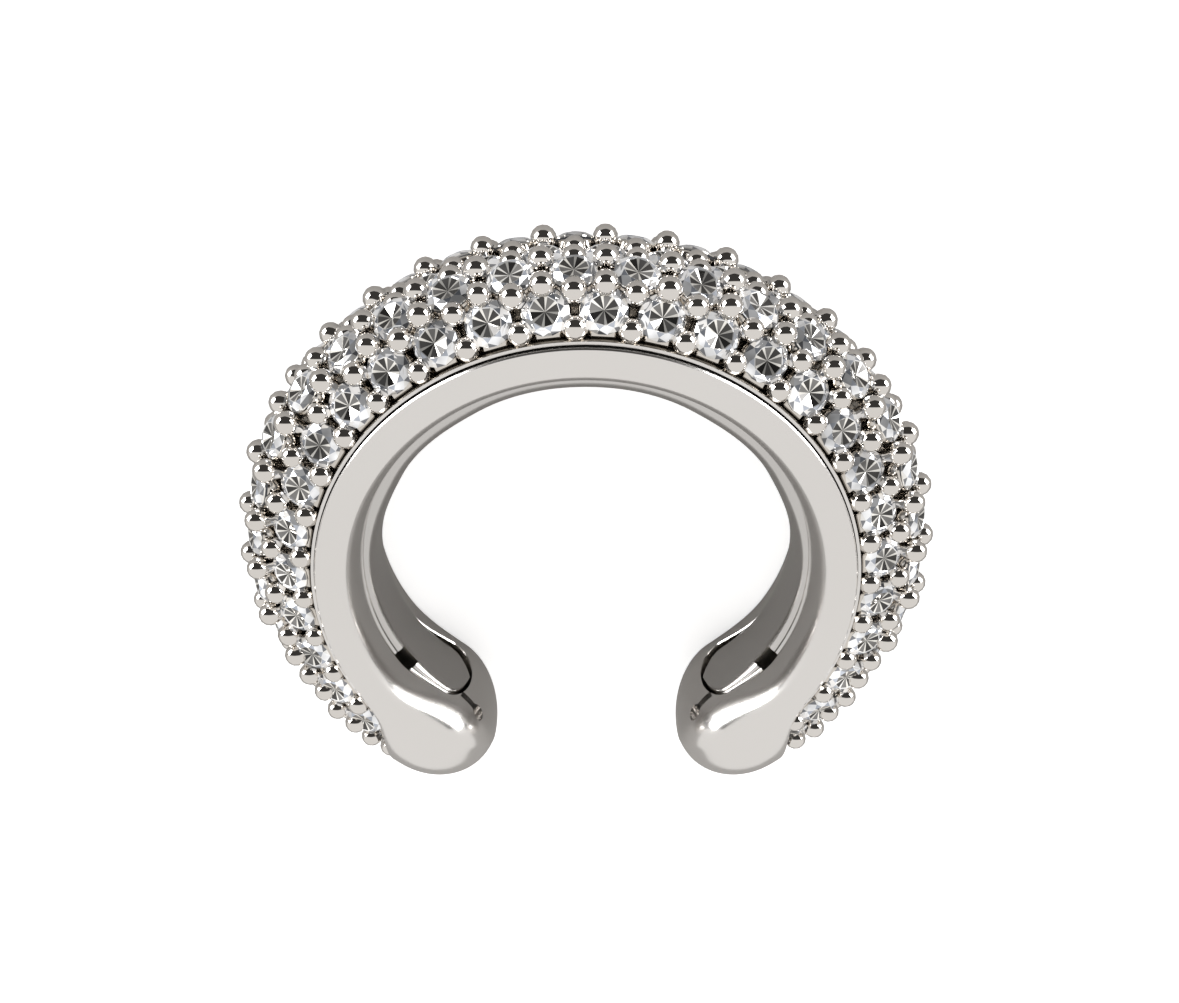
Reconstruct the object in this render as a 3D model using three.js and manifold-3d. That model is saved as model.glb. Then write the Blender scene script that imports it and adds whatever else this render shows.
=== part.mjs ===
// Ear cuff: a cast C-shaped shell with a stone-paved outer band and a pillowed inner plate.
// Millimetres, +Z up. The cuff lies on its side: its axis is Z, the middle of the C is +Y
// and the gap between the two tips faces -Y.
import * as THREE from 'three';
import * as BufferGeometryUtils from 'three/addons/utils/BufferGeometryUtils.js';
import Module from 'manifold-3d';

const wasm = await Module();
wasm.setup();

// ---- driving dimensions ----
const cuffWidth = 3.8;            // across the band, along the cuff's axis
const rimOuterRadius = 6.08;      // outer edge of the flat side faces
const rimInnerRadius = 5.55;      // inner edge of the flat side faces
const seatRadius = 5.18;          // where the rims' rounding meets the inner plate
const rimRounding = 0.92;         // how far that rounding reaches along the axis
const paveSetback = 0.15;         // the paving starts this much below each side face
const pavePower = 2.5;            // squareness of the paving's section
const plateBackRadius = 5.5;
const plateChamfer = 0.06;
const platePower = 2.4;           // squareness of the plate's pillowed face
const tipInnerRadius = 4.8;
const tipOuterRadius = 7.75;
const tipPower = 2.2;             // squareness of the tips' section
const tipSlimming = 0.05;         // share of the width lost at the tips
const capLength = 1.85;           // rounded end beyond the last full section
const seamGap = 0.05;             // open line between neighbouring pieces

// Angles run from the middle of the C to the tips, in degrees, alike on both arms.
const swellStart = 118;
const swellEnd = 138;
const paveTaperStart = 122;
const paveEnd = 143;
const plateTaperStart = 134;
const plateEnd = 141.5;
const capStart = 139.8;

// The band is a little thicker on the flanks: radius of the bead tops and of the plate's crown.
const bandProfile = [
  { angle: 0, beadTops: 7.82, crown: 4.62 },
  { angle: 30, beadTops: 7.92, crown: 4.66 },
  { angle: 60, beadTops: 8.12, crown: 4.8 },
  { angle: 90, beadTops: 8.02, crown: 4.94 },
  { angle: 115, beadTops: 7.64, crown: 4.9 },
  { angle: 145, beadTops: 7.5, crown: 4.84 },
];

// A slot with a round hole at its end on each tip, and a notch in each edge of the plate.
const slot = {
  start: 139.5, end: 146.5, width: 0.16, reach: 1.0, below: 1.1, drop: 0.28, holeRadius: 0.15,
};
const notch = { start: 116.5, end: 123, depth: 0.2, pocketRadius: 5.75 };

const midHeight = cuffWidth / 2;
const tipCentreRadius = (tipInnerRadius + tipOuterRadius) / 2;
const paveHalfWidth = midHeight - paveSetback;
const plateHalfWidth = midHeight - rimRounding - seamGap;

// Steps of the facets; an end's last step stops short of its point.
const armStep = 6;
const taperSteps = 6;
const capSteps = 7;
const sectionSteps = 8;
const plateSteps = 6;
const holeSides = 12;
const taperShort = 0.35;
const capShort = 0.4;
const weldDistance = 1e-5;

// How far cutters pass beyond the faces that they open.
const cutBeyond = 1;
const slotBeyond = 0.2;
const notchBeyond = 0.5;
const endClearance = 0.5;         // degrees that a recess runs past the piece in it

const { degToRad, radToDeg, lerp, smoothstep } = THREE.MathUtils;

// Reads a column of bandProfile at an angle, eased between its rows.
function bandValue(column, angle) {
  const a = Math.min(Math.abs(angle), bandProfile.at(-1).angle);
  const next = bandProfile.findIndex((row) => row.angle >= a && row.angle > 0);
  const [low, high] = [bandProfile[next - 1], bandProfile[next]];
  return lerp(low[column], high[column], smoothstep(a, low.angle, high.angle));
}

function swellAt(angle) {
  return smoothstep(Math.abs(angle), swellStart, swellEnd);
}

function bothArms(angles) {
  return [...angles.slice(1).map((a) => -a).reverse(), ...angles];
}

// Even stations along the arm, then closer ones towards an end.
function stations(taperStart, end) {
  const armSteps = Math.round(taperStart / armStep);
  const arm = Array.from({ length: armSteps + 1 }, (_, i) => (taperStart * i) / armSteps);
  const taper = Array.from({ length: taperSteps }, (_, i) => {
    const share = Math.sin((Math.PI / 2) * ((i + 1) / (taperSteps + taperShort)));
    return lerp(taperStart, end, share);
  });
  return bothArms([...arm, ...taper]);
}

function shellStations() {
  const arm = stations(swellStart, capStart).filter((a) => a >= 0);
  const capAngle = radToDeg(capLength / tipCentreRadius);
  const cap = Array.from({ length: capSteps }, (_, i) => (
    capStart + capAngle * Math.sin((Math.PI / 2) * (i / (capSteps - 1 + capShort)))
  ));
  return bothArms([...arm, ...cap]);
}

// Share of the full half width that is left at an angle, falling to a round end.
function roundEnd(angle, start, end) {
  const t = Math.max(0, (Math.abs(angle) - start) / (end - start));
  return Math.sqrt(Math.max(0, 1 - t * t));
}

// Quarter of a superellipse from (0, 1) to (1, 0).
function quarter(power, steps) {
  return Array.from({ length: steps + 1 }, (_, i) => {
    const a = (Math.PI / 2) * (i / steps);
    return [Math.sin(a) ** (2 / power), Math.cos(a) ** (2 / power)];
  });
}

// A section is a list of [radius, height above the middle]; its upper half gives the whole.
function mirrored(upperHalf) {
  const lower = upperHalf.slice(1, -1).map(([r, h]) => [r, -h]).reverse();
  return [...upperHalf, ...lower];
}

// Joins the sections at all angles into one closed body.
function sweep(angles, sectionAt) {
  const positions = [];
  const indices = [];
  const rings = angles.map(sectionAt);
  const count = rings[0].length;
  rings.forEach((ring, i) => {
    const a = degToRad(angles[i]);
    ring.forEach(([r, h]) => positions.push(r * Math.sin(a), r * Math.cos(a), midHeight + h));
  });
  for (let i = 0; i < rings.length - 1; i += 1) {
    for (let j = 0; j < count; j += 1) {
      const k = (j + 1) % count;
      const [p, q] = [i * count + j, i * count + k];
      indices.push(p, p + count, q, q, p + count, q + count);
    }
  }
  [0, rings.length - 1].forEach((i) => {
    const centre = positions.length / 3;
    const ring = positions.slice(i * count * 3, (i + 1) * count * 3);
    [0, 1, 2].forEach((c) => {
      positions.push(ring.filter((_, n) => n % 3 === c).reduce((sum, v) => sum + v, 0) / count);
    });
    for (let j = 0; j < count; j += 1) {
      const edge = [i * count + j, i * count + ((j + 1) % count)];
      indices.push(centre, ...(i === 0 ? edge : edge.reverse()));
    }
  });
  const geometry = new THREE.BufferGeometry();
  geometry.setAttribute('position', new THREE.Float32BufferAttribute(positions, 3));
  geometry.setIndex(indices);
  return geometry;
}

function toSolid(source) {
  const bare = source.clone();
  bare.deleteAttribute('normal');
  bare.deleteAttribute('uv');
  const merged = BufferGeometryUtils.mergeVertices(bare, weldDistance);
  return new wasm.Manifold(new wasm.Mesh({
    numProp: 3,
    vertProperties: new Float32Array(merged.attributes.position.array),
    triVerts: new Uint32Array(merged.index.array),
  }));
}

function toGeometry(solid) {
  const mesh = solid.getMesh();
  const geometry = new THREE.BufferGeometry();
  geometry.setAttribute('position', new THREE.BufferAttribute(new Float32Array(mesh.vertProperties), 3));
  geometry.setIndex(new THREE.BufferAttribute(new Uint32Array(mesh.triVerts), 1));
  geometry.computeVertexNormals();
  return geometry;
}

// ---- sections ----
// On the arms the shell is a flat-sided rim; it swells to an oval at the tips.
function shellSection(angle) {
  const swell = swellAt(angle);
  const halfWidth = midHeight * (1 - tipSlimming * swell);
  const inner = quarter(tipPower, sectionSteps).reverse().map(([inwards, up]) => {
    const height = halfWidth * up;
    const intoRounding = Math.max(0, (height - (halfWidth - rimRounding)) / rimRounding);
    const arm = lerp(rimInnerRadius, seatRadius, Math.sqrt(Math.max(0, 1 - intoRounding ** 2)));
    const tip = lerp(rimInnerRadius, tipInnerRadius, inwards);
    return [lerp(arm, tip, swell), height];
  });
  const outer = quarter(tipPower, sectionSteps).map(([outwards, up]) => (
    [lerp(rimOuterRadius, tipOuterRadius, outwards * swell), halfWidth * up]
  ));
  return [...inner, ...outer];
}

// Beyond capStart the section shrinks about its centre, as a rounded end.
function shellRing(angle) {
  const beyond = degToRad(Math.max(0, Math.abs(angle) - capStart)) * tipCentreRadius;
  const scale = Math.sqrt(1 - Math.min(1, beyond / capLength) ** 2);
  return mirrored(shellSection(angle)).map(([r, h]) => [lerp(tipCentreRadius, r, scale), h * scale]);
}

// The paving's section, from the bed to the bead tops, ending in a round tongue.
function paveRing(angle) {
  const bed = rimOuterRadius + seamGap;
  const halfWidth = paveHalfWidth * roundEnd(angle, paveTaperStart, paveEnd);
  const top = lerp(bandValue('beadTops', angle), tipOuterRadius - seamGap, swellAt(angle));
  const dome = quarter(pavePower, sectionSteps).slice(1).map(([outwards, up]) => (
    [lerp(bed, top, outwards), halfWidth * up]
  ));
  return mirrored([[bed, 0], [bed, halfWidth], ...dome]);
}

// Room for the paving: its tongue with the seam all round, open outwards.
function paveRecessRing(angle) {
  const halfWidth = (paveHalfWidth + seamGap) * roundEnd(angle, paveTaperStart, paveEnd + endClearance);
  const beyond = tipOuterRadius + cutBeyond;
  return mirrored([[rimOuterRadius, 0], [rimOuterRadius, halfWidth], [beyond, halfWidth], [beyond, 0]]);
}

// Where the plate's pillowed face meets its edges, rising a little with the tips.
function plateEdgeRadius(angle) {
  return lerp(seatRadius, (seatRadius + tipInnerRadius) / 2, swellAt(angle));
}

function plateRing(angle) {
  const share = roundEnd(angle, plateTaperStart, plateEnd);
  const halfWidth = plateHalfWidth * share;
  const edge = plateEdgeRadius(angle);
  const face = quarter(platePower, plateSteps).reverse().slice(0, -1).map(([inwards, up]) => (
    [lerp(edge, bandValue('crown', angle), inwards), (halfWidth - plateChamfer * share) * up]
  ));
  const side = [[edge, halfWidth - plateChamfer * share], [edge + plateChamfer, halfWidth]];
  const back = [[plateBackRadius, halfWidth], [plateBackRadius, 0]];
  return mirrored([...face, ...side, ...back]);
}

function plateSeatRing(angle) {
  const halfWidth = (plateHalfWidth + seamGap) * roundEnd(angle, plateTaperStart, plateEnd + endClearance);
  const within = tipInnerRadius - cutBeyond;
  const back = plateBackRadius + seamGap;
  return mirrored([[within, 0], [within, halfWidth], [back, halfWidth], [back, 0]]);
}

// ---- small cutters ----
// Places a shape at an angle, with its local X along the arm, Y outwards and Z up.
function placed(geometry, angle, radius, height, roll = 0) {
  const matrix = new THREE.Matrix4().makeRotationZ(-degToRad(angle));
  matrix.multiply(new THREE.Matrix4().makeTranslation(0, radius, height));
  matrix.multiply(new THREE.Matrix4().makeRotationY(roll));
  return toSolid(geometry.clone().applyMatrix4(matrix));
}

function slotCutter(side) {
  const length = degToRad(slot.end - slot.start) * tipInnerRadius;
  const roll = side * Math.atan2(slot.drop, length);
  const radius = tipInnerRadius + slotBeyond;
  const height = cuffWidth - slot.below;
  const bar = new THREE.BoxGeometry(length, slot.reach, slot.width);
  const hole = new THREE.CylinderGeometry(slot.holeRadius, slot.holeRadius, slot.reach, holeSides);
  const barSolid = placed(bar, (side * (slot.start + slot.end)) / 2, radius, height - slot.drop / 2, roll);
  return barSolid.add(placed(hole, side * slot.end, radius, height - slot.drop));
}

function notchCutter(side, up) {
  const length = degToRad(notch.end - notch.start) * seatRadius;
  const depth = notch.depth + seamGap * 2;
  const reach = notch.pocketRadius - bandProfile[0].crown + notchBeyond;
  const box = new THREE.BoxGeometry(length, reach, depth);
  const height = midHeight + up * (plateHalfWidth + seamGap - depth / 2);
  return placed(box, (side * (notch.start + notch.end)) / 2, notch.pocketRadius - reach / 2, height);
}

// ---- pieces ----
const sides = [-1, 1];
const notches = sides.flatMap((side) => sides.map((up) => notchCutter(side, up)));
const shellCuts = [
  toSolid(sweep(stations(paveTaperStart, paveEnd + endClearance), paveRecessRing)),
  toSolid(sweep(stations(plateTaperStart, plateEnd + endClearance), plateSeatRing)),
  ...sides.map(slotCutter),
  ...notches,
];

const shell = shellCuts.reduce(
  (body, cut) => body.subtract(cut),
  toSolid(sweep(shellStations(), shellRing)),
);
const plate = notches.reduce(
  (body, cut) => body.subtract(cut),
  toSolid(sweep(stations(plateTaperStart, plateEnd), plateRing)),
);
const pave = toSolid(sweep(stations(paveTaperStart, paveEnd), paveRing));

const polished = new THREE.MeshStandardMaterial({ color: 0xd9d6d2, roughness: 0.12, metalness: 1 });
const polishedInside = new THREE.MeshStandardMaterial({ color: 0xcfccc8, roughness: 0.15, metalness: 1 });
const stones = new THREE.MeshStandardMaterial({ color: 0xe9edf2, roughness: 0.05, metalness: 0.1 });

function piece(name, solid, material) {
  const mesh = new THREE.Mesh(toGeometry(solid), material);
  mesh.name = name;
  return mesh;
}

const cuff = new THREE.Group();
cuff.add(piece('cuff_shell', shell, polished));
cuff.add(piece('pave_surface', pave, stones));
cuff.add(piece('inner_plate', plate, polishedInside));

// The origin is the middle of the footprint.
const footprint = new THREE.Box3().setFromObject(cuff);
cuff.position.y = -(footprint.min.y + footprint.max.y) / 2;

export default cuff;
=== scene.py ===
"""Looks of the ear cuff: a polished C-shaped band, its inner plate and its stone paving.

Lengths below are in millimetres and angles in degrees, unless a name says otherwise.
Angles along the band run from the middle of the C (+Y) and grow towards +X.
"""

import math

import bmesh
import bpy
from mathutils import Euler, Matrix, Vector


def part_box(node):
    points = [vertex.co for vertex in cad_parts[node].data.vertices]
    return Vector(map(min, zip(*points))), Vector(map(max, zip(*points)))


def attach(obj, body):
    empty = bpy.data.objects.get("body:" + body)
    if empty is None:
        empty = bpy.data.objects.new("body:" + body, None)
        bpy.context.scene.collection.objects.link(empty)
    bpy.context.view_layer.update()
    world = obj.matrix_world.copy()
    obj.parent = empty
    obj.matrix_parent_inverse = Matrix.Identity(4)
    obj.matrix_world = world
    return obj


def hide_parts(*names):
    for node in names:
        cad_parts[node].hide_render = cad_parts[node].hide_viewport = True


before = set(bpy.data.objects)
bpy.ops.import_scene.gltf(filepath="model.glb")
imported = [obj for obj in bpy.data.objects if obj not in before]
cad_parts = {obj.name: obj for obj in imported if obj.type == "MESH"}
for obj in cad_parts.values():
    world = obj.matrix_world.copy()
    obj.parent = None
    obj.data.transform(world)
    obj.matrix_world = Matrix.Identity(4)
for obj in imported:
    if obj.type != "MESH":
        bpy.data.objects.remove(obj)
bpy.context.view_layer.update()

bl_info = {
    "name": "Ear Cuff Maker",
    "version": (1, 0, 0),
    "blender": (4, 5, 0),
    "location": "3D View > Sidebar > Ear Cuff",
    "description": "Builds the finished ear cuff round its packed frame",
    "category": "Object",
}

MM = 0.001

# ---- sizes shared with the frame ----
CUFF_WIDTH = 3.8
RIM_OUTER = 6.08
RIM_INNER = 5.55
SEAT_RADIUS = 5.18
RIM_ROUNDING = 0.92
PAVE_SETBACK = 0.15
PLATE_BACK = 5.5
PLATE_CHAMFER = 0.06
PLATE_POWER = 2.4
TIP_INNER = 4.8
TIP_OUTER = 7.75
TIP_POWER = 2.2
TIP_SLIMMING = 0.05
CAP_LENGTH = 1.85
SEAM = 0.05
SEAM_EASE = 0.04
SWELL = (118, 138)
PAVE_TAPER = (122, 143)
PLATE_TAPER = (134, 141.5)
CAP_START = 139.8
END_CLEARANCE = 0.5
BAND_PROFILE = (
    {"angle": 0, "bead_tops": 7.82, "crown": 4.54},
    {"angle": 30, "bead_tops": 7.92, "crown": 4.59},
    {"angle": 60, "bead_tops": 8.12, "crown": 4.77},
    {"angle": 90, "bead_tops": 8.02, "crown": 4.94},
    {"angle": 115, "bead_tops": 7.64, "crown": 4.9},
    {"angle": 145, "bead_tops": 7.5, "crown": 4.84},
)
SLOT = {
    "start": 139.5, "end": 146.8, "width": 0.17, "reach": 1.0,
    "below": 1.15, "drop": -0.12, "hole": 0.19,
}
NOTCH = {"start": 116.5, "end": 123, "depth": 0.2, "pocket": 5.75}

MID = CUFF_WIDTH / 2
TIP_CENTRE = (TIP_INNER + TIP_OUTER) / 2
PAVE_HALF = MID - PAVE_SETBACK
PLATE_HALF = MID - RIM_ROUNDING - SEAM
RING_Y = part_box("pave_surface")[1].y / MM - BAND_PROFILE[0]["bead_tops"]

# ---- rows of the paving, from one side face to the other ----
# out: stone's girdle beyond the rim, None where it hangs below the bead tops by under;
# height: girdle above the middle; tilt: stone's face from the cuff's axis;
# front and rear: bead centres before and behind the row; lift: bead centres above the girdle.
PITCH = 9.9
PHASE = -1.8
ROWS = (
    {"out": 0.64, "under": 0.0, "height": 1.46, "tilt": 24, "offset": 0.5,
     "front": -0.34, "rear": 0.38, "lift": 0.09, "front_lift": 0.0, "last": 137},
    {"out": None, "under": 0.48, "height": 0.98, "tilt": 62, "offset": 0.0,
     "front": -0.38, "rear": 0.34, "lift": 0.05, "front_lift": 0.09, "last": 134},
    {"out": None, "under": 0.46, "height": 0.0, "tilt": 90, "offset": 0.5,
     "front": -0.31, "rear": 0.31, "lift": 0.05, "front_lift": 0.05, "last": 137},
)
BEAD_REACH = 4
LEDGE_WIDTH = 0.045
LEDGE_DEPTH = 0.1


def smoothstep(value, low, high):
    t = min(1, max(0, (value - low) / (high - low)))
    return t * t * (3 - 2 * t)


def lerp(a, b, t):
    return a + (b - a) * t


def band_value(column, angle):
    """A column of BAND_PROFILE at an angle, eased between its rows."""
    a = min(abs(angle), BAND_PROFILE[-1]["angle"])
    for low, high in zip(BAND_PROFILE, BAND_PROFILE[1:]):
        if a <= high["angle"]:
            t = smoothstep(a, low["angle"], high["angle"])
            return lerp(low[column], high[column], t)
    raise RuntimeError("the band profile has no rows")


def swell_at(angle):
    return smoothstep(abs(angle), *SWELL)


def round_end(angle, start, end):
    t = max(0, (abs(angle) - start) / (end - start))
    return math.sqrt(max(0, 1 - t * t))


def bulge(share, power):
    """Height of a superellipse over its half width, both from 0 to 1."""
    return (1 - min(1, abs(share)) ** power) ** (1 / power)


def eased(count):
    """Shares from 0 to 1, closer together near 1."""
    return [math.sin(math.pi / 2 * i / count) for i in range(count + 1)]


def both_arms(angles):
    ordered = sorted(set(round(a, 4) for a in angles))
    return [-a for a in reversed(ordered) if a > 0] + ordered


def mirrored(upper):
    return upper + [(r, -h) for r, h in reversed(upper[1:-1])]


def mesh_object(name, bm, material, sharp=None):
    """A plain object at the origin from a bmesh in millimetres."""
    bmesh.ops.scale(bm, vec=(MM, MM, MM), verts=bm.verts)
    mesh = bpy.data.meshes.new(name)
    bm.to_mesh(mesh)
    bm.free()
    mesh.materials.append(material)
    if sharp is not None:
        mesh.shade_smooth()
        mesh.set_sharp_from_angle(angle=math.radians(sharp))
    obj = bpy.data.objects.new(name, mesh)
    bpy.context.scene.collection.objects.link(obj)
    return obj


def swept(angles, section_at, offset=RING_Y):
    """One closed body through the sections at all angles, closed by fans at both ends."""
    bm = bmesh.new()
    rings = []
    for angle in angles:
        a = math.radians(angle)
        rings.append([
            bm.verts.new((r * math.sin(a), offset + r * math.cos(a), MID + h))
            for r, h in section_at(angle)
        ])
    count = len(rings[0])
    for ring, following in zip(rings, rings[1:]):
        for j in range(count):
            k = (j + 1) % count
            bm.faces.new((ring[j], following[j], following[k], ring[k]))
    for ring, turn in ((rings[0], 1), (rings[-1], -1)):
        centre = bm.verts.new(sum((v.co for v in ring), Vector()) / count)
        for j in range(count):
            edge = (ring[j], ring[(j + 1) % count])[::turn]
            bm.faces.new((centre, *edge))
    bmesh.ops.remove_doubles(bm, verts=bm.verts, dist=0.0004)
    bmesh.ops.dissolve_degenerate(bm, edges=bm.edges, dist=0.0002)
    bmesh.ops.recalc_face_normals(bm, faces=bm.faces)
    return bm


# ---- finishes ----
def socket(group, name, way, kind, default=None, low=None, high=None):
    item = group.interface.new_socket(name=name, in_out=way, socket_type=kind)
    if default is not None:
        item.default_value = default
    if low is not None:
        item.min_value, item.max_value = low, high
    return item


def polish_group():
    """Faint marks of hand polishing: fine hairlines and soft unevenness."""
    group = bpy.data.node_groups.get("hand_polish")
    if group:
        return group
    group = bpy.data.node_groups.new("hand_polish", "ShaderNodeTree")
    socket(group, "Grain size", "INPUT", "NodeSocketFloat", 900.0)
    socket(group, "Wave size", "INPUT", "NodeSocketFloat", 160.0)
    socket(group, "Least rough", "INPUT", "NodeSocketFloat", 0.03)
    socket(group, "Most rough", "INPUT", "NodeSocketFloat", 0.09)
    socket(group, "Light", "INPUT", "NodeSocketColor", (0.9, 0.88, 0.86, 1))
    socket(group, "Dark", "INPUT", "NodeSocketColor", (0.8, 0.78, 0.76, 1))
    socket(group, "Color", "OUTPUT", "NodeSocketColor")
    socket(group, "Roughness", "OUTPUT", "NodeSocketFloat")
    socket(group, "Height", "OUTPUT", "NodeSocketFloat")
    nodes, links = group.nodes, group.links
    given = nodes.new("NodeGroupInput")
    result = nodes.new("NodeGroupOutput")
    place = nodes.new("ShaderNodeTexCoord")
    grain = nodes.new("ShaderNodeTexNoise")
    grain.inputs["Detail"].default_value = 4
    wave = nodes.new("ShaderNodeTexNoise")
    wave.inputs["Detail"].default_value = 1
    rough = nodes.new("ShaderNodeMapRange")
    tint = nodes.new("ShaderNodeMix")
    tint.data_type = "RGBA"
    links.new(place.outputs["Object"], grain.inputs["Vector"])
    links.new(place.outputs["Object"], wave.inputs["Vector"])
    links.new(given.outputs["Grain size"], grain.inputs["Scale"])
    links.new(given.outputs["Wave size"], wave.inputs["Scale"])
    links.new(grain.outputs["Fac"], rough.inputs["Value"])
    links.new(given.outputs["Least rough"], rough.inputs["To Min"])
    links.new(given.outputs["Most rough"], rough.inputs["To Max"])
    links.new(wave.outputs["Fac"], tint.inputs["Factor"])
    links.new(given.outputs["Dark"], tint.inputs["A"])
    links.new(given.outputs["Light"], tint.inputs["B"])
    links.new(tint.outputs["Result"], result.inputs["Color"])
    links.new(rough.outputs["Result"], result.inputs["Roughness"])
    links.new(grain.outputs["Fac"], result.inputs["Height"])
    return group


METALS = {
    "white_gold_body": {
        "Light": (0.87, 0.85, 0.83, 1), "Dark": (0.83, 0.81, 0.79, 1),
        "Least rough": 0.17, "Most rough": 0.24, "bump": 0.004,
    },
    # The plate's white gold is painted darker than the body's, as painted shade on the inner face, which
    # mirrors the shaded floor near the cuff.
    "white_gold_plate_painted_shade": {
        "Light": (0.7, 0.685, 0.67, 1), "Dark": (0.62, 0.605, 0.59, 1),
        "Least rough": 0.16, "Most rough": 0.24, "bump": 0.005,
    },
    "white_gold_beads": {
        "Light": (0.86, 0.83, 0.8, 1), "Dark": (0.78, 0.75, 0.71, 1),
        "Least rough": 0.02, "Most rough": 0.06, "bump": 0.0,
    },
    "white_gold_seats": {
        "Light": (0.84, 0.8, 0.75, 1), "Dark": (0.66, 0.62, 0.57, 1),
        "Least rough": 0.05, "Most rough": 0.14, "bump": 0.01,
    },
    # The bed's white gold is painted dark, as painted shade in the recess under the stones and beads; the
    # seam uses it as painted shade too.
    "white_gold_bed_painted_shade": {
        "Light": (0.42, 0.39, 0.35, 1), "Dark": (0.2, 0.185, 0.165, 1),
        "Least rough": 0.15, "Most rough": 0.35, "bump": 0.02,
    },
}


def metal(name):
    material = bpy.data.materials.get(name)
    if material:
        return material
    values = METALS[name]
    material = bpy.data.materials.new(name)
    material.use_nodes = True
    nodes, links = material.node_tree.nodes, material.node_tree.links
    shader = nodes["Principled BSDF"]
    shader.inputs["Metallic"].default_value = 1
    polish = nodes.new("ShaderNodeGroup")
    polish.node_tree = polish_group()
    for key in ("Light", "Dark", "Least rough", "Most rough"):
        polish.inputs[key].default_value = values[key]
    links.new(polish.outputs["Color"], shader.inputs["Base Color"])
    links.new(polish.outputs["Roughness"], shader.inputs["Roughness"])
    bump = nodes.new("ShaderNodeBump")
    bump.inputs["Strength"].default_value = values["bump"]
    bump.inputs["Distance"].default_value = 0.02 * MM
    links.new(polish.outputs["Height"], bump.inputs["Height"])
    links.new(bump.outputs["Normal"], shader.inputs["Normal"])
    return material


def stone_painted_light():
    """Mirror-bright facets with painted light: each facet's colour is a painted highlight, reflection or
    shade for the light its cut would send back, and it also glows faintly as painted inner light.
    """
    material = bpy.data.materials.get("clear_stone")
    if material:
        return material
    material = bpy.data.materials.new("clear_stone")
    material.use_nodes = True
    nodes, links = material.node_tree.nodes, material.node_tree.links
    shader = nodes["Principled BSDF"]
    shader.inputs["Metallic"].default_value = 1
    shader.inputs["Roughness"].default_value = 0.04
    shader.inputs["Coat Weight"].default_value = 0.5
    shade = nodes.new("ShaderNodeAttribute")
    shade.attribute_name = "facet_painted_light"
    place = nodes.new("ShaderNodeTexCoord")
    cloud = nodes.new("ShaderNodeTexNoise")
    cloud.inputs["Scale"].default_value = 1100
    cloud.inputs["Detail"].default_value = 3
    # Cloudy change in the painted facet light from place to place across the stones.
    ramp = nodes.new("ShaderNodeMapRange")
    ramp.inputs["From Min"].default_value = 0.3
    ramp.inputs["From Max"].default_value = 0.7
    ramp.inputs["To Min"].default_value = 0.4
    ramp.inputs["To Max"].default_value = 1.35
    tint = nodes.new("ShaderNodeVectorMath")
    tint.operation = "SCALE"
    links.new(place.outputs["Object"], cloud.inputs["Vector"])
    links.new(cloud.outputs["Fac"], ramp.inputs["Value"])
    links.new(shade.outputs["Color"], tint.inputs[0])
    links.new(ramp.outputs["Result"], tint.inputs["Scale"])
    links.new(tint.outputs["Vector"], shader.inputs["Base Color"])
    # The painted facet colour also glows, as painted light from inside the stone.
    links.new(tint.outputs["Vector"], shader.inputs["Emission Color"])
    shader.inputs["Emission Strength"].default_value = 0.28
    return material


# ---- body ----
def body_outer(height, half, swell):
    return lerp(RIM_OUTER, TIP_OUTER, swell * bulge(height / half, TIP_POWER))


def body_inner(height, half, swell):
    into = max(0, (height - (half - RIM_ROUNDING)) / RIM_ROUNDING)
    arm = lerp(RIM_INNER, SEAT_RADIUS, math.sqrt(max(0, 1 - into * into)))
    tip = lerp(RIM_INNER, TIP_INNER, bulge(height / half, TIP_POWER))
    return lerp(arm, tip, swell)


def heights(low, high, count):
    """Heights from low to high, closer together near the high end."""
    return [lerp(low, high, s) for s in eased(count)]


def body_section(angle):
    swell = swell_at(angle)
    half = MID * (1 - TIP_SLIMMING * swell)
    beyond = math.radians(max(0, abs(angle) - CAP_START)) * TIP_CENTRE
    scale = math.sqrt(max(0, 1 - min(1, beyond / CAP_LENGTH) ** 2))
    scale = max(scale, 0.004)
    edge = cuff_sizes().edge_break

    def placed(r, h):
        return (lerp(TIP_CENTRE, r, scale), h * scale)

    def recess(half_width, taper, floor, surface, outwards):
        end = taper[1] + END_CLEARANCE
        if abs(angle) > end:
            at_middle = placed(surface(0, half, swell), 0)
            return 0.0, [at_middle] * 3, 0.0
        width = (half_width + SEAM) * round_end(angle, taper[0], end)
        local = min(width / scale, half)
        brim = placed(surface(local, half, swell), local)
        soft = edge * min(1, width / 0.2)
        depth = (brim[0] - floor) * outwards
        soft = min(soft, max(0, depth) / 2)
        wall = (brim[0] - soft * outwards, width)
        return local, [(floor, 0), (floor, width), wall], soft

    seat_top, seat, seat_soft = recess(PLATE_HALF, PLATE_TAPER, PLATE_BACK + SEAM, body_inner, -1)
    bed_top, bed, bed_soft = recess(PAVE_HALF, PAVE_TAPER, RIM_OUTER, body_outer, 1)
    brim = edge * (1 - swell)
    inner = [
        placed(body_inner(h, half, swell), h)
        for h in heights(seat_top + seat_soft, half, 30)
    ]
    flat = [placed(lerp(RIM_INNER, RIM_OUTER - brim, t), half) for t in (0.25, 0.5, 0.75, 1)]
    outer = [
        placed(body_outer(h, half, swell), h)
        for h in reversed(heights(bed_top + bed_soft, half - brim, 30))
    ]
    return mirrored(seat + inner + flat + outer + list(reversed(bed)))


def body_stations():
    arm = [SWELL[0] * i / 80 for i in range(81)]
    swelling = [lerp(SWELL[0], CAP_START, i / 44) for i in range(45)]
    ends = []
    for start, end in (PLATE_TAPER, PAVE_TAPER):
        end += END_CLEARANCE
        ends += [lerp(start, end, s) for s in eased(24)] + [end + 0.002]
    cap_angle = math.degrees(CAP_LENGTH / TIP_CENTRE)
    cap = [CAP_START + cap_angle * s for s in eased(40)]
    return both_arms(arm + swelling + ends + cap)


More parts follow.
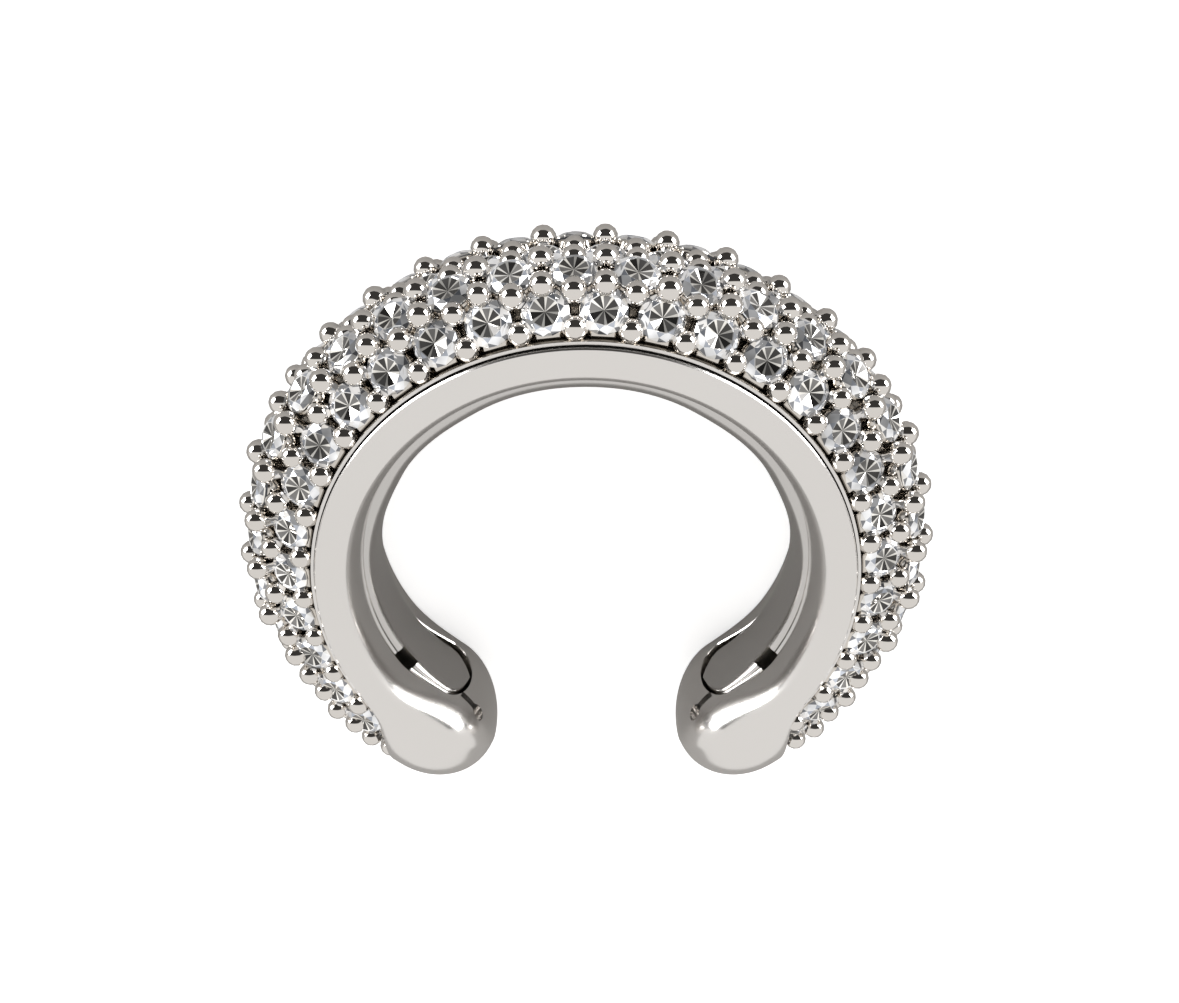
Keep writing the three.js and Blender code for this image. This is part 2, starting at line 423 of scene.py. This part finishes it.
def placed_cutter(bm, angle, radius, height, roll=0.0):
    matrix = Matrix.Rotation(-math.radians(angle), 4, "Z")
    matrix @= Matrix.Translation((0, radius, height)) @ Matrix.Rotation(roll, 4, "Y")
    bmesh.ops.transform(bm, matrix=Matrix.Translation((0, RING_Y, 0)) @ matrix, verts=bm.verts)
    return mesh_object("cutter", bm, metal("white_gold_bed_painted_shade"))


def box_cutter(size, angle, radius, height, roll=0.0):
    bm = bmesh.new()
    bmesh.ops.create_cube(bm, size=1)
    bmesh.ops.scale(bm, vec=size, verts=bm.verts)
    return placed_cutter(bm, angle, radius, height, roll)


def hole_cutter(angle, radius, height):
    bm = bmesh.new()
    bmesh.ops.create_cone(
        bm, segments=32, radius1=SLOT["hole"], radius2=SLOT["hole"], depth=SLOT["reach"],
        cap_ends=True,
    )
    turn = Matrix.Rotation(math.pi / 2, 4, "X")
    bmesh.ops.transform(bm, matrix=turn, verts=bm.verts)
    return placed_cutter(bm, angle, radius, height)


def slot_cutters(side):
    length = math.radians(SLOT["end"] - SLOT["start"]) * TIP_INNER
    roll = side * math.atan2(SLOT["drop"], length)
    radius = TIP_INNER + 0.2
    height = CUFF_WIDTH - SLOT["below"]
    size = (length, SLOT["reach"], SLOT["width"])
    middle = side * (SLOT["start"] + SLOT["end"]) / 2
    return [
        box_cutter(size, middle, radius, height - SLOT["drop"] / 2, roll),
        hole_cutter(side * SLOT["end"], radius, height - SLOT["drop"]),
    ]


def notch_cutter(side, up):
    length = math.radians(NOTCH["end"] - NOTCH["start"]) * SEAT_RADIUS
    depth = NOTCH["depth"] + SEAM * 2
    reach = NOTCH["pocket"] - BAND_PROFILE[0]["crown"] + 0.5
    height = MID + up * (PLATE_HALF + SEAM - depth / 2)
    middle = side * (NOTCH["start"] + NOTCH["end"]) / 2
    return box_cutter((length, reach, depth), middle, NOTCH["pocket"] - reach / 2, height)


def cut(obj, cutters, sharp):
    """Takes the cutters out of obj and leaves one plain mesh."""
    for cutter in cutters:
        step = obj.modifiers.new("cut", "BOOLEAN")
        step.object = cutter
        step.solver = "EXACT"
    whole = bpy.data.meshes.new_from_object(obj.evaluated_get(bpy.context.evaluated_depsgraph_get()))
    obj.modifiers.clear()
    obj.data = whole
    whole.shade_smooth()
    whole.set_sharp_from_angle(angle=math.radians(sharp))
    for cutter in cutters:
        bpy.data.objects.remove(cutter)
    return obj


def paint_seam_shade(obj):
    """Paints shade into the seam between body and plate: the faces hidden there get the dark bed metal as
    painted shade.
    """
    obj.data.materials.append(metal("white_gold_bed_painted_shade"))
    for face in obj.data.polygons:
        x, y, z = face.center / MM
        radius = math.hypot(x, y - RING_Y)
        angle = abs(math.degrees(math.atan2(x, y - RING_Y)))
        edge = lerp(SEAT_RADIUS, (SEAT_RADIUS + TIP_INNER) / 2, swell_at(angle))
        within = abs(z - MID) < PLATE_HALF + SEAM * 1.1 and angle < PLATE_TAPER[1] + 1
        if within and edge + PLATE_CHAMFER < radius < PLATE_BACK + SEAM * 1.1:
            face.material_index = 1


def notch_cutters():
    return [notch_cutter(side, up) for side in (-1, 1) for up in (-1, 1)]


# ---- inner plate ----
def plate_section(angle):
    share = round_end(angle, *PLATE_TAPER)
    half = max((PLATE_HALF - SEAM_EASE) * share, 0.004)
    edge = lerp(SEAT_RADIUS, (SEAT_RADIUS + TIP_INNER) / 2, swell_at(angle))
    chamfer = PLATE_CHAMFER * share
    crown = band_value("crown", angle)
    face = [
        (lerp(edge, crown, bulge(s, PLATE_POWER)), (half - chamfer) * s)
        for s in eased(26)
    ]
    side = [(edge + PLATE_CHAMFER / 2, half - chamfer * 0.3), (edge + PLATE_CHAMFER, half)]
    return mirrored(face + side + [(PLATE_BACK, half), (PLATE_BACK, 0)])


def plate_stations():
    start, end = PLATE_TAPER
    arm = [start * i / 90 for i in range(91)]
    return both_arms(arm + [lerp(start, end, s) for s in eased(30)])


# ---- paving ----
def band_thickness(angle):
    tops = lerp(band_value("bead_tops", angle), TIP_OUTER - SEAM, swell_at(angle))
    return tops - RIM_OUTER


def bed_section(angle):
    taper = max(round_end(angle, *PAVE_TAPER), 0.01)
    thickness = band_thickness(angle)
    floor = thickness - 0.86
    upper = [
        (0.0, PAVE_HALF), (0.045, PAVE_HALF), (0.055, PAVE_HALF - 0.02), (0.06, 1.5),
        (0.12, 1.44), (0.3, 1.14), (0.42, 1.04), (0.62, 0.97), (floor - 0.12, 0.84),
        (floor, 0.66), (floor + 0.02, 0.33), (floor + 0.02, 0),
    ]
    start = RIM_OUTER + SEAM
    return mirrored([(start, 0)] + [(start + out, h * taper) for out, h in upper])


def ledge_section(angle, side):
    """The thin bright rail that runs along one edge of the paving."""
    level = PAVE_HALF * max(round_end(angle, *PAVE_TAPER), 0.01)
    low, high = level - LEDGE_DEPTH, level + 0.02
    near, far = RIM_OUTER + SEAM - 0.02, RIM_OUTER + SEAM + LEDGE_WIDTH
    corners = [(near, low), (near, high), (far, high), (far, low)]
    return [(r, side * h) for r, h in corners]


def bed_stations():
    start, end = PAVE_TAPER
    arm = [start * i / 100 for i in range(101)]
    return both_arms(arm + [lerp(start, end, s) for s in eased(24)])


def row_place(row, side, angle):
    """Girdle centre, outward face and rearward direction of a row at an angle."""
    a = math.radians(angle)
    outward = Vector((math.sin(a), math.cos(a), 0))
    along = Vector((math.cos(a), -math.sin(a), 0))
    up = Vector((0, 0, side))
    tilt = math.radians(row["tilt"])
    out = row["out"] if row["out"] is not None else band_thickness(angle) - row["under"]
    taper = round_end(angle, *PAVE_TAPER)
    centre = Vector((0, RING_Y, MID)) + outward * (RIM_OUTER + out)
    centre += up * row["height"] * taper
    face = outward * math.sin(tilt) + up * math.cos(tilt)
    rear = outward * math.cos(tilt) - up * math.sin(tilt)
    return centre, face, rear, along


def every_row():
    """Each row with the side of the middle that it is on."""
    return [(ROWS[0], 1), (ROWS[1], 1), (ROWS[2], 1), (ROWS[1], -1), (ROWS[0], -1)]


def stone_places():
    places = []
    for row, side in every_row():
        for k in range(-15, 16):
            angle = PHASE + (k + row["offset"]) * PITCH
            if abs(angle) > row["last"]:
                continue
            centre, face, _, along = row_place(row, side, angle)
            places.append((centre, face, along))
    return places


def bead_places():
    places = []
    for row, side in every_row():
        for k in range(-15, 16):
            angle = PHASE + (k + row["offset"] + 0.5) * PITCH
            if abs(angle) > row["last"] + BEAD_REACH:
                continue
            centre, face, rear, along = row_place(row, side, angle)
            for step, lift in ((row["front"], row["front_lift"]), (row["rear"], row["lift"])):
                places.append((centre + rear * step + face * lift, face, along))
    return places


def point_cloud(name, places):
    """Loose points that carry the direction each small part faces."""
    mesh = bpy.data.meshes.new(name)
    mesh.from_pydata([centre * MM for centre, _, _ in places], [], [])
    for column, index in (("face", 1), ("along", 2)):
        layer = mesh.attributes.new(column, "FLOAT_VECTOR", "POINT")
        layer.data.foreach_set("vector", [c for place in places for c in place[index]])
    obj = bpy.data.objects.new(name, mesh)
    bpy.context.scene.collection.objects.link(obj)
    return obj


def setting_tree():
    """Sets one small part on every point, facing out of the band."""
    tree = bpy.data.node_groups.get("set_parts")
    if tree:
        return tree
    tree = bpy.data.node_groups.new("set_parts", "GeometryNodeTree")
    socket(tree, "Geometry", "INPUT", "NodeSocketGeometry")
    socket(tree, "Part", "INPUT", "NodeSocketObject")
    socket(tree, "Turn spread", "INPUT", "NodeSocketFloat", 0.0, 0.0, math.pi)
    socket(tree, "Lean spread", "INPUT", "NodeSocketFloat", 0.0, 0.0, 0.3)
    socket(tree, "Least size", "INPUT", "NodeSocketFloat", 1.0, 0.5, 1.5)
    socket(tree, "Most size", "INPUT", "NodeSocketFloat", 1.0, 0.5, 1.5)
    socket(tree, "Seed", "INPUT", "NodeSocketInt", 3)
    socket(tree, "Finish", "INPUT", "NodeSocketMaterial")
    socket(tree, "Geometry", "OUTPUT", "NodeSocketGeometry")
    nodes, links = tree.nodes, tree.links
    given = nodes.new("NodeGroupInput")
    result = nodes.new("NodeGroupOutput")
    part = nodes.new("GeometryNodeObjectInfo")
    part.inputs["As Instance"].default_value = True
    turned = None
    for column, axis in (("face", "Z"), ("along", "X")):
        read = nodes.new("GeometryNodeInputNamedAttribute")
        read.data_type = "FLOAT_VECTOR"
        read.inputs["Name"].default_value = column
        align = nodes.new("FunctionNodeAlignRotationToVector")
        align.axis = axis
        align.pivot_axis = "AUTO" if turned is None else "Z"
        links.new(read.outputs["Attribute"], align.inputs["Vector"])
        if turned is not None:
            links.new(turned.outputs["Rotation"], align.inputs["Rotation"])
        turned = align
    spread = nodes.new("ShaderNodeCombineXYZ")
    back = nodes.new("ShaderNodeVectorMath")
    back.operation = "SCALE"
    back.inputs["Scale"].default_value = -1
    random_turn = nodes.new("FunctionNodeRandomValue")
    random_turn.data_type = "FLOAT_VECTOR"
    to_rotation = nodes.new("FunctionNodeEulerToRotation")
    rotate = nodes.new("FunctionNodeRotateRotation")
    rotate.rotation_space = "LOCAL"
    size = nodes.new("FunctionNodeRandomValue")
    size.data_type = "FLOAT"
    place = nodes.new("GeometryNodeInstanceOnPoints")
    realize = nodes.new("GeometryNodeRealizeInstances")
    finish = nodes.new("GeometryNodeSetMaterial")
    for axis in ("X", "Y"):
        links.new(given.outputs["Lean spread"], spread.inputs[axis])
    links.new(given.outputs["Turn spread"], spread.inputs["Z"])
    links.new(spread.outputs["Vector"], back.inputs[0])
    links.new(back.outputs["Vector"], random_turn.inputs["Min"])
    links.new(spread.outputs["Vector"], random_turn.inputs["Max"])
    links.new(given.outputs["Seed"], random_turn.inputs["Seed"])
    links.new(random_turn.outputs["Value"], to_rotation.inputs["Euler"])
    links.new(turned.outputs["Rotation"], rotate.inputs["Rotation"])
    links.new(to_rotation.outputs["Rotation"], rotate.inputs["Rotate By"])
    links.new(given.outputs["Least size"], size.inputs[2])
    links.new(given.outputs["Most size"], size.inputs[3])
    links.new(given.outputs["Seed"], size.inputs["Seed"])
    links.new(given.outputs["Part"], part.inputs["Object"])
    links.new(given.outputs["Geometry"], place.inputs["Points"])
    links.new(part.outputs["Geometry"], place.inputs["Instance"])
    links.new(rotate.outputs["Rotation"], place.inputs["Rotation"])
    links.new(size.outputs[1], place.inputs["Scale"])
    links.new(place.outputs["Instances"], realize.inputs["Geometry"])
    links.new(realize.outputs["Geometry"], finish.inputs["Geometry"])
    links.new(given.outputs["Finish"], finish.inputs["Material"])
    links.new(finish.outputs["Geometry"], result.inputs["Geometry"])
    return tree


def set_parts(name, places, part, material, **values):
    """One plain mesh of part repeated on all places; part itself is taken away."""
    points = point_cloud(name, places)
    step = points.modifiers.new("set", "NODES")
    tree = setting_tree()
    step.node_group = tree
    keys = {
        item.name: item.identifier
        for item in tree.interface.items_tree
        if item.item_type == "SOCKET" and item.in_out == "INPUT"
    }
    step[keys["Part"]] = part
    step[keys["Finish"]] = material
    for key, value in values.items():
        step[keys[key.replace("_", " ").capitalize()]] = value
    depsgraph = bpy.context.evaluated_depsgraph_get()
    whole = bpy.data.meshes.new_from_object(points.evaluated_get(depsgraph))
    points.modifiers.clear()
    points.data = whole
    bpy.data.objects.remove(part)
    for column in ("face", "along"):
        layer = whole.attributes.get(column)
        if layer:
            whole.attributes.remove(layer)
    if not whole.polygons:
        raise RuntimeError(f"{name} came out empty")
    return points


def lathe(profile, sides, cap_first=True, cap_last=True, turn=0.0):
    """A body turned about Z from (radius, height) pairs."""
    bm = bmesh.new()
    rings = []
    for r, h in profile:
        if r == 0:
            rings.append([bm.verts.new((0, 0, h))])
            continue
        rings.append([
            bm.verts.new((
                r * math.cos(2 * math.pi * i / sides + turn),
                r * math.sin(2 * math.pi * i / sides + turn),
                h,
            ))
            for i in range(sides)
        ])
    for low, high in zip(rings, rings[1:]):
        for i in range(sides):
            j = (i + 1) % sides
            corners = [low[i % len(low)], low[j % len(low)], high[j % len(high)], high[i % len(high)]]
            bm.faces.new(list(dict.fromkeys(corners)))
    if cap_first and len(rings[0]) > 1:
        bm.faces.new(list(reversed(rings[0])))
    if cap_last and len(rings[-1]) > 1:
        bm.faces.new(rings[-1])
    return bm


def bead_shape():
    """A bead on its short post."""
    sizes = pave_sizes()
    radius = sizes.bead_size / 2 / MM
    rings = [(0.13, -0.62), (0.15, -0.3)]
    for degrees in (-38, -12, 14, 40, 65):
        a = math.radians(degrees)
        rings.append((radius * math.cos(a), radius * math.sin(a)))
    rings.append((0, radius))
    return mesh_object("bead", lathe(rings, 14), metal("white_gold_beads"), 50)


def collar_shape():
    """The cup that a stone sits in."""
    girdle = pave_sizes().stone_size / 2 / MM
    rings = [
        (girdle - 0.24, -0.44), (girdle - 0.05, -0.42), (girdle + 0.02, -0.2),
        (girdle + 0.03, -0.07), (girdle + 0.005, -0.03), (girdle - 0.03, -0.05),
        (girdle - 0.2, -0.26), (girdle - 0.24, -0.44),
    ]
    bm = lathe(rings, 20, False, False)
    bmesh.ops.remove_doubles(bm, verts=bm.verts, dist=0.0005)
    bmesh.ops.recalc_face_normals(bm, faces=bm.faces)
    return mesh_object("collar", bm, metal("white_gold_seats"), 32)


# Painted light of each facet: rays, rim, kites, upper facets and girdle as painted highlights and
# reflections, pavilion and shadow facets as painted shade.
FACET_PAINTED_LIGHT = {
    "ray": (0.95, 0.93, 0.88), "pavilion": (0.06, 0.058, 0.056), "pavilion_lit": (0.22, 0.215, 0.21), "rim": (0.95, 0.95, 0.95),
    "star": (0.45, 0.48, 0.54), "kite": (0.92, 0.93, 0.95), "upper": (0.85, 0.84, 0.82),
    "shadow": (0.22, 0.225, 0.24), "girdle": (0.9, 0.88, 0.84),
}
WEDGE_PAINTED_LIGHT = ("ray", "pavilion", "ray", "pavilion_lit")
RAY_HALF = 6


def stone_shape():
    """A round brilliant with its girdle at height 0; its table shows the star of the cut below, as a sunk
    cone of facets painted with bright rays and dark pavilion shade.
    """
    sizes = pave_sizes()
    girdle = sizes.stone_size / 2 / MM
    table = girdle * sizes.table_share
    crown = 0.14
    girdle_half = 0.015
    bm = bmesh.new()
    layer = bm.faces.layers.float_color.new("facet_painted_light")

    def ring(radius, height, degrees):
        return [
            bm.verts.new((
                radius * math.cos(math.radians(d)), radius * math.sin(math.radians(d)), height,
            ))
            for d in degrees
        ]

    # Each facet gets its painted light or shade as a colour.
    def facet(shade, *corners):
        bm.faces.new(corners)[layer] = (*FACET_PAINTED_LIGHT[shade], 1)

    wedges = [45 * (i // 2) + (RAY_HALF if i % 2 else -RAY_HALF) for i in range(16)]
    star = ring(table * 0.94, crown - 0.012, wedges)
    top = ring(table, crown, wedges)
    kites = ring(lerp(table, girdle, 0.5), lerp(crown, girdle_half, 0.42), [45 * i + 22.5 for i in range(8)])
    upper = ring(girdle, girdle_half, [22.5 * i for i in range(16)])
    lower = ring(girdle, -girdle_half, [22.5 * i for i in range(16)])
    heart = bm.verts.new((0, 0, crown - 0.09))
    point = bm.verts.new((0, 0, -0.4))
    for i in range(16):
        j = (i + 1) % 16
        facet(WEDGE_PAINTED_LIGHT[i % len(WEDGE_PAINTED_LIGHT)], heart, star[i], star[j])
        facet("rim", star[i], top[i], top[j], star[j])
        facet("girdle", upper[i], lower[i], lower[j], upper[j])
        facet("shadow", lower[i], point, lower[j])
    for i in range(8):
        right, left, after = top[2 * i + 1], top[2 * i], top[(2 * i + 2) % 16]
        facet("star", right, kites[i], after)
        facet("kite", left, kites[i - 1], upper[2 * i], kites[i], right)
        facet("upper", kites[i], upper[2 * i], upper[2 * i + 1])
        facet("shadow", kites[i], upper[2 * i + 1], upper[(2 * i + 2) % 16])
    bmesh.ops.recalc_face_normals(bm, faces=bm.faces)
    return mesh_object("stone", bm, stone_painted_light())


def block_shape(width):
    """A small bright block between the ledge and a stone or bead."""
    bm = bmesh.new()
    bmesh.ops.create_cube(bm, size=1)
    bmesh.ops.scale(bm, vec=(width, 0.13, 0.3), verts=bm.verts)
    bmesh.ops.bevel(bm, geom=bm.edges[:], offset=0.02, segments=1, affect="EDGES")
    return mesh_object("block", bm, metal("white_gold_seats"))


def block_places(shift, out, height):
    """Along both front edges of the paving, under each stone or each bead."""
    edge = {**ROWS[0], "out": out, "height": height, "tilt": 20}
    places = []
    for side in (-1, 1):
        for k in range(-15, 16):
            angle = PHASE + (k + shift) * PITCH
            if abs(angle) <= ROWS[0]["last"]:
                centre, face, _, along = row_place(edge, side, angle)
                places.append((centre, face, along))
    return places


# ---- settings ----
class CuffSizes(bpy.types.PropertyGroup):
    edge_break: bpy.props.FloatProperty(
        name="Edge break",
        description="Width of the small chamfer on the body's sharp edges, in millimetres",
        default=0.03, min=0.005, max=0.06,
    )
    sharp_angle: bpy.props.FloatProperty(
        name="Sharp angle",
        description="Edges that turn more than this stay crisp",
        default=math.radians(32), subtype="ANGLE",
    )


class PaveSizes(bpy.types.PropertyGroup):
    stone_size: bpy.props.FloatProperty(
        name="Stone size", description="Diameter of a stone's girdle",
        default=0.97 * MM, min=0.5 * MM, max=1.1 * MM, unit="LENGTH", precision=5,
    )
    table_share: bpy.props.FloatProperty(
        name="Table share", description="Table's width as a share of the stone's",
        default=0.64, min=0.5, max=0.75, subtype="FACTOR",
    )
    bead_size: bpy.props.FloatProperty(
        name="Bead size", description="Diameter of a holding bead",
        default=0.55 * MM, min=0.3 * MM, max=0.65 * MM, unit="LENGTH", precision=5,
    )


class StudioLook(bpy.types.PropertyGroup):
    overhead: bpy.props.FloatProperty(
        name="Cloth", description="Brightness of the pale cloth over the tips' side",
        default=0.8, min=0,
    )
    side: bpy.props.FloatProperty(
        name="Side lights", description="Brightness of the two soft boxes behind the band",
        default=8.0, min=0,
    )
    surround: bpy.props.FloatVectorProperty(
        name="Surround", description="Colour of the dim room round the stage",
        default=(0.045, 0.043, 0.041), subtype="COLOR",
    )
    floor_glow: bpy.props.FloatProperty(
        name="Floor glow", description="Light that the floor paper lets through",
        default=0.6, min=0,
    )
    # The floor as the metal shows it is darker than to the eye: painted shade for the floor that the cuff
    # shades near it.
    floor_reflected_shade: bpy.props.FloatVectorProperty(
        name="Floor in reflections", description="Colour of the floor as the metal shows it",
        default=(0.44, 0.43, 0.42), subtype="COLOR",
    )
    floor: bpy.props.FloatVectorProperty(
        name="Floor", description="Colour of the floor", default=(0.92, 0.92, 0.92),
        subtype="COLOR",
    )


def cuff_sizes():
    return bpy.context.scene.ear_cuff_body


def pave_sizes():
    return bpy.context.scene.ear_cuff_pave


def studio_look():
    return bpy.context.scene.ear_cuff_studio


def declare(obj, node):
    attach(obj, "root")
    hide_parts(node)


# ---- operators ----
class EARCUFF_OT_body(bpy.types.Operator):
    """Build the polished body with its rims, tips, vent slots and notches"""

    bl_idname = "ear_cuff.body"
    bl_label = "Build body"

    def execute(self, context):
        sharp = math.degrees(cuff_sizes().sharp_angle)
        bm = swept(body_stations(), body_section)
        obj = mesh_object("cuff_body", bm, metal("white_gold_body"), sharp)
        cutters = [c for side in (-1, 1) for c in slot_cutters(side)] + notch_cutters()
        cut(obj, cutters, sharp)
        # The seam faces get the dark bed metal as painted shade.
        paint_seam_shade(obj)
        declare(obj, "cuff_shell")
        return {"FINISHED"}


class EARCUFF_OT_plate(bpy.types.Operator):
    """Build the pillowed inner plate"""

    bl_idname = "ear_cuff.plate"
    bl_label = "Build inner plate"

    def execute(self, context):
        sharp = math.degrees(cuff_sizes().sharp_angle)
        bm = swept(plate_stations(), plate_section)
        # The plate's darker white gold is painted shade.
        obj = mesh_object("cuff_plate", bm, metal("white_gold_plate_painted_shade"), sharp)
        cut(obj, notch_cutters(), sharp)
        # The seam faces get the dark bed metal as painted shade.
        paint_seam_shade(obj)
        declare(obj, "inner_plate")
        return {"FINISHED"}


class EARCUFF_OT_bed(bpy.types.Operator):
    """Build the metal bed that the paving stands in"""

    bl_idname = "ear_cuff.bed"
    bl_label = "Build paving bed"

    def execute(self, context):
        bm = swept(bed_stations(), bed_section)
        # The bed's dark metal is painted shade in the recess under the paving.
        obj = mesh_object("pave_bed", bm, metal("white_gold_bed_painted_shade"), 32)
        declare(obj, "pave_surface")
        for side, name in ((1, "pave_ledge_near"), (-1, "pave_ledge_far")):
            bm = swept(bed_stations(), lambda angle, side=side: ledge_section(angle, side))
            rail = mesh_object(name, bm, metal("white_gold_body"), 32)
            declare(rail, "pave_surface")
        return {"FINISHED"}


class EARCUFF_OT_stones(bpy.types.Operator):
    """Set the stones and the collars they sit in"""

    bl_idname = "ear_cuff.stones"
    bl_label = "Set stones"

    def execute(self, context):
        places = stone_places()
        stones = set_parts(
            "pave_stones", places, stone_shape(), stone_painted_light(),
            turn_spread=math.pi, lean_spread=math.radians(5), seed=11,
        )
        collars = set_parts("pave_collars", places, collar_shape(), metal("white_gold_seats"), seed=5)
        blocks = set_parts(
            "pave_blocks", block_places(0.5, 0.16, 1.5), block_shape(0.5),
            metal("white_gold_seats"), seed=9,
        )
        posts = set_parts(
            "pave_post_blocks", block_places(0.0, 0.15, 1.46), block_shape(0.34),
            metal("white_gold_seats"), seed=9,
        )
        for obj in (stones, collars, blocks, posts):
            declare(obj, "pave_surface")
        return {"FINISHED"}


class EARCUFF_OT_beads(bpy.types.Operator):
    """Raise the holding beads between the stones"""

    bl_idname = "ear_cuff.beads"
    bl_label = "Raise beads"

    def execute(self, context):
        obj = set_parts(
            "pave_beads", bead_places(), bead_shape(), metal("white_gold_beads"),
            turn_spread=0.2, lean_spread=math.radians(4), least_size=0.95, most_size=1.04, seed=7,
        )
        declare(obj, "pave_surface")
        return {"FINISHED"}


CLOTH_SIDE = (0, -0.927, 0.375)
CLOTH_FADE = 0.05
CAMERA_TILT = 30.5
CAMERA_AWAY = 22.55
CAMERA_LENS = 32.37
CAMERA_AIM = (0.08, 1.92)


def soft_box(name, direction, distance, width, height, brightness, tint=(1, 1, 1)):
    """A rectangular light that faces the cuff, with the given brightness as seen."""
    data = bpy.data.lights.new(name, "AREA")
    data.shape = "RECTANGLE"
    data.size = width * MM
    data.size_y = height * MM
    data.energy = brightness * math.pi * data.size * data.size_y
    data.color = tint
    obj = bpy.data.objects.new(name, data)
    toward = Vector(direction).normalized()
    obj.location = toward * distance * MM + Vector((0, 0, MID * MM))
    obj.rotation_euler = toward.to_track_quat("Z", "Y").to_euler()
    bpy.context.scene.collection.objects.link(obj)
    return obj


def hang_cloth(tree, look):
    """Surround: a pale cloth over the tips' side of the stage, and a dim room behind the band."""
    nodes, links = tree.nodes, tree.links
    place = nodes.new("ShaderNodeTexCoord")
    across = nodes.new("ShaderNodeVectorMath")
    across.operation = "DOT_PRODUCT"
    across.inputs[1].default_value = CLOTH_SIDE
    edge = nodes.new("ShaderNodeMapRange")
    edge.interpolation_type = "SMOOTHSTEP"
    edge.inputs["From Min"].default_value = -CLOTH_FADE
    edge.inputs["From Max"].default_value = CLOTH_FADE
    mix = nodes.new("ShaderNodeMix")
    mix.data_type = "RGBA"
    mix.inputs["A"].default_value = (*look.surround, 1)
    mix.inputs["B"].default_value = (look.overhead, look.overhead * 0.985, look.overhead * 0.965, 1)
    links.new(place.outputs["Generated"], across.inputs[0])
    links.new(across.outputs["Value"], edge.inputs["Value"])
    links.new(edge.outputs["Result"], mix.inputs["Factor"])
    links.new(mix.outputs["Result"], nodes["Background"].inputs["Color"])


def light_floor(tree, shader, look):
    """White paper to the eye; darker and softer in the metal's reflections, as painted shade for the floor
    that the cuff shades near it.
    """
    nodes, links = tree.nodes, tree.links
    path = nodes.new("ShaderNodeLightPath")
    color = nodes.new("ShaderNodeMix")
    color.data_type = "RGBA"
    color.inputs["A"].default_value = (*look.floor_reflected_shade, 1)
    color.inputs["B"].default_value = (*look.floor, 1)
    links.new(path.outputs["Is Camera Ray"], color.inputs["Factor"])
    links.new(color.outputs["Result"], shader.inputs["Base Color"])
    glow = nodes.new("ShaderNodeMix")
    glow.data_type = "RGBA"
    glow.inputs["A"].default_value = (0, 0, 0, 1)
    glow.inputs["B"].default_value = (1, 1, 1, 1)
    links.new(path.outputs["Is Camera Ray"], glow.inputs["Factor"])
    links.new(glow.outputs["Result"], shader.inputs["Emission Color"])


class EARCUFF_OT_stage(bpy.types.Operator):
    """Lay the floor, hang the lights and set up the camera"""

    bl_idname = "ear_cuff.stage"
    bl_label = "Set stage"

    def execute(self, context):
        scene = context.scene
        look = studio_look()
        bm = bmesh.new()
        bmesh.ops.create_grid(bm, x_segments=2, y_segments=2, size=400)
        bmesh.ops.translate(bm, vec=(0, 0, -0.02), verts=bm.verts)
        paper = bpy.data.materials.new("floor_paper")
        paper.use_nodes = True
        shader = paper.node_tree.nodes["Principled BSDF"]
        shader.inputs["Roughness"].default_value = 0.8
        shader.inputs["Emission Strength"].default_value = look.floor_glow
        light_floor(paper.node_tree, shader, look)
        floor = mesh_object("floor", bm, paper)

        for side in (-1, 1):
            soft_box(f"side_{side}", (side * 0.87, 0.47, 0.22), 150, 105, 75, look.side)

        world = bpy.data.worlds.new("surround")
        world.use_nodes = True
        hang_cloth(world.node_tree, look)
        scene.world = world
        scene.view_settings.view_transform = "Standard"

        tilt = math.radians(CAMERA_TILT)
        back = Vector((0, math.sin(tilt), math.cos(tilt)))
        up = Vector((0, math.cos(tilt), -math.sin(tilt)))
        right = Vector((1, 0, 0))
        aim = Vector((*CAMERA_AIM, CUFF_WIDTH))
        data = bpy.data.cameras.new("camera")
        data.sensor_width = 36
        data.lens = CAMERA_LENS
        data.clip_start = 0.5 * MM
        data.clip_end = 5
        camera = bpy.data.objects.new("camera", data)
        turn = Matrix((right, up, back)).transposed().to_4x4()
        camera.matrix_world = Matrix.Translation((aim + back * CAMERA_AWAY) * MM) @ turn
        scene.collection.objects.link(camera)
        scene.camera = camera
        return {"FINISHED"}


class EARCUFF_PT_panel(bpy.types.Panel):
    """Lists the steps and their sizes"""

    bl_label = "Ear cuff"
    bl_idname = "EARCUFF_PT_panel"
    bl_space_type = "VIEW_3D"
    bl_region_type = "UI"
    bl_category = "Ear Cuff"

    def draw(self, context):
        column = self.layout.column(align=True)
        for group in (cuff_sizes(), pave_sizes(), studio_look()):
            for key in group.__annotations__:
                column.prop(group, key)
        for step in STEPS:
            column.operator(step.bl_idname)


STEPS = (
    EARCUFF_OT_body, EARCUFF_OT_plate, EARCUFF_OT_bed, EARCUFF_OT_stones,
    EARCUFF_OT_beads, EARCUFF_OT_stage,
)
CLASSES = (CuffSizes, PaveSizes, StudioLook, *STEPS, EARCUFF_PT_panel)


def register():
    for cls in CLASSES:
        bpy.utils.register_class(cls)
    bpy.types.Scene.ear_cuff_body = bpy.props.PointerProperty(type=CuffSizes)
    bpy.types.Scene.ear_cuff_pave = bpy.props.PointerProperty(type=PaveSizes)
    bpy.types.Scene.ear_cuff_studio = bpy.props.PointerProperty(type=StudioLook)


def unregister():
    del bpy.types.Scene.ear_cuff_studio
    del bpy.types.Scene.ear_cuff_pave
    del bpy.types.Scene.ear_cuff_body
    for cls in reversed(CLASSES):
        bpy.utils.unregister_class(cls)


def main():
    register()
    bpy.ops.ear_cuff.body()
    bpy.ops.ear_cuff.plate()
    bpy.ops.ear_cuff.bed()
    bpy.ops.ear_cuff.stones()
    bpy.ops.ear_cuff.beads()
    bpy.ops.ear_cuff.stage()


if __name__ == "__main__":
    main()
